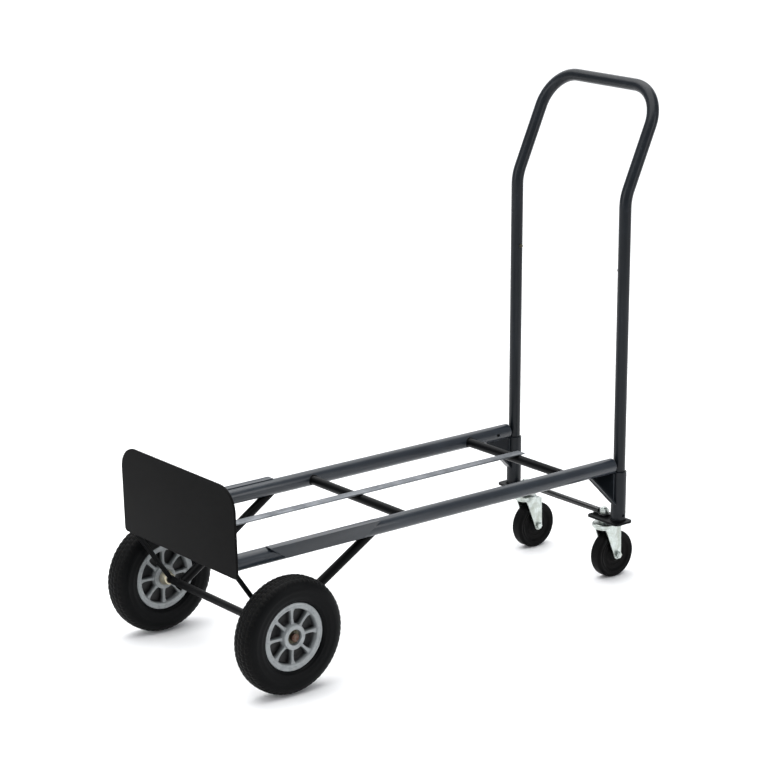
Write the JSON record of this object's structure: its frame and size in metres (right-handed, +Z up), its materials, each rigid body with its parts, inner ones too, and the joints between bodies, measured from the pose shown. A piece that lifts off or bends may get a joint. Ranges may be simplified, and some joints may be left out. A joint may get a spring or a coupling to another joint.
{
  "type": "hand truck",
  "caption": "Convertible steel hand truck in platform position: tubular bed, toe plate, spoked front wheels on an axle, swivel casters and a lift-out bent tube handle.",
  "frame": {"origin": "on the floor, under the middle of the overall box", "axes": "+X from the toe plate to the handle, +Y to the right of a person pushing the handle, +Z up"},
  "size_m": [1.1292, 0.486, 1.0537],
  "materials": {
    "frame_paint": "slate blue powder coat, semi-gloss",
    "black_paint": "black powder coat, satin",
    "strip_steel": "bare rolled steel strip under clear coat",
    "zinc": "bright zinc plate",
    "bronze": "sintered bronze, oiled",
    "tyre": "matt moulded rubber",
    "hub": "light grey moulded nylon",
    "caster_rubber": "hard black rubber",
    "black_plastic": "black moulded plastic"
  },
  "bodies": {
    "frame": {"rail_left": "frame_paint", "rail_right": "frame_paint", "rail_guard_left": "frame_paint", "rail_guard_right": "frame_paint", "toe_plate": "black_paint", "cross_tube_front": "black_paint", "cross_tube_rear": "black_paint", "bed_strip": "strip_steel", "rear_strut_left": "black_paint", "rear_strut_right": "black_paint", "front_strut_left": "black_paint", "front_strut_right": "black_paint", "axle": "black_paint", "axle_collars": "zinc", "axle_washers": "zinc", "cotter_pins": "zinc", "socket_left": "frame_paint", "socket_right": "frame_paint", "gusset_left": "frame_paint", "gusset_right": "frame_paint", "mount_plate_left": "black_paint", "mount_plate_right": "black_paint", "tie_rod": "zinc", "stem_nuts": "zinc", "caster_stem_left": "zinc", "caster_stem_right": "zinc", "race_cap_left": "zinc", "race_cap_right": "zinc"},
    "handle": {"handle_tube": "frame_paint", "handle_plugs": "black_plastic", "button_spring_left": "zinc", "button_spring_right": "zinc"},
    "button_left": {"snap_button_left": "zinc"},
    "button_right": {"snap_button_right": "zinc"},
    "wheel_left": {"tyre_left": "tyre", "hub_left": "hub", "hub_bushes_left": "bronze"},
    "caster_left": {"fork_left": "zinc", "ball_ring_left": "zinc", "caster_sleeve_left": "zinc", "caster_bolt_left": "zinc", "caster_nut_left": "zinc"},
    "caster_wheel_left": {"caster_tread_left": "caster_rubber", "caster_core_left": "black_plastic"},
    "wheel_right": {"tyre_right": "tyre", "hub_right": "hub", "hub_bushes_right": "bronze"},
    "caster_right": {"fork_right": "zinc", "ball_ring_right": "zinc", "caster_sleeve_right": "zinc", "caster_bolt_right": "zinc", "caster_nut_right": "zinc"},
    "caster_wheel_right": {"caster_tread_right": "caster_rubber", "caster_core_right": "black_plastic"}
  },
  "joints": [
    {"name": "wheel_left_roll", "type": "hinge", "parent": "frame", "child": "wheel_left", "pos_m": [-0.44864, -0.215, 0.116], "axis": [0, 1, 0], "continuous": true},
    {"name": "wheel_right_roll", "type": "hinge", "parent": "frame", "child": "wheel_right", "pos_m": [-0.44864, 0.215, 0.116], "axis": [0, 1, 0], "continuous": true},
    {"name": "caster_left_swivel", "type": "hinge", "parent": "frame", "child": "caster_left", "pos_m": [0.45336, -0.125, 0], "axis": [0, 0, 1], "continuous": true},
    {"name": "caster_left_roll", "type": "hinge", "parent": "caster_left", "child": "caster_wheel_left", "pos_m": [0.47736, -0.125, 0.0508], "axis": [0, 1, 0], "continuous": true},
    {"name": "caster_right_swivel", "type": "hinge", "parent": "frame", "child": "caster_right", "pos_m": [0.45336, 0.125, 0], "axis": [0, 0, 1], "continuous": true},
    {"name": "caster_right_roll", "type": "hinge", "parent": "caster_right", "child": "caster_wheel_right", "pos_m": [0.47736, 0.125, 0.0508], "axis": [0, 1, 0], "continuous": true},
    {"name": "handle_lift", "type": "slide", "parent": "frame", "child": "handle", "axis": [0, 0, 1], "range_m": [0, 0.16]},
    {"name": "button_left_press", "type": "slide", "parent": "handle", "child": "button_left", "axis": [0, -1, 0], "range_m": [0, 0.005], "stiffness_N_per_m": 600, "springref_m": -0.004, "deforming": ["button_spring_left"]},
    {"name": "button_right_press", "type": "slide", "parent": "handle", "child": "button_right", "axis": [0, 1, 0], "range_m": [0, 0.005], "stiffness_N_per_m": 600, "springref_m": -0.004, "deforming": ["button_spring_right"]}
  ]
}
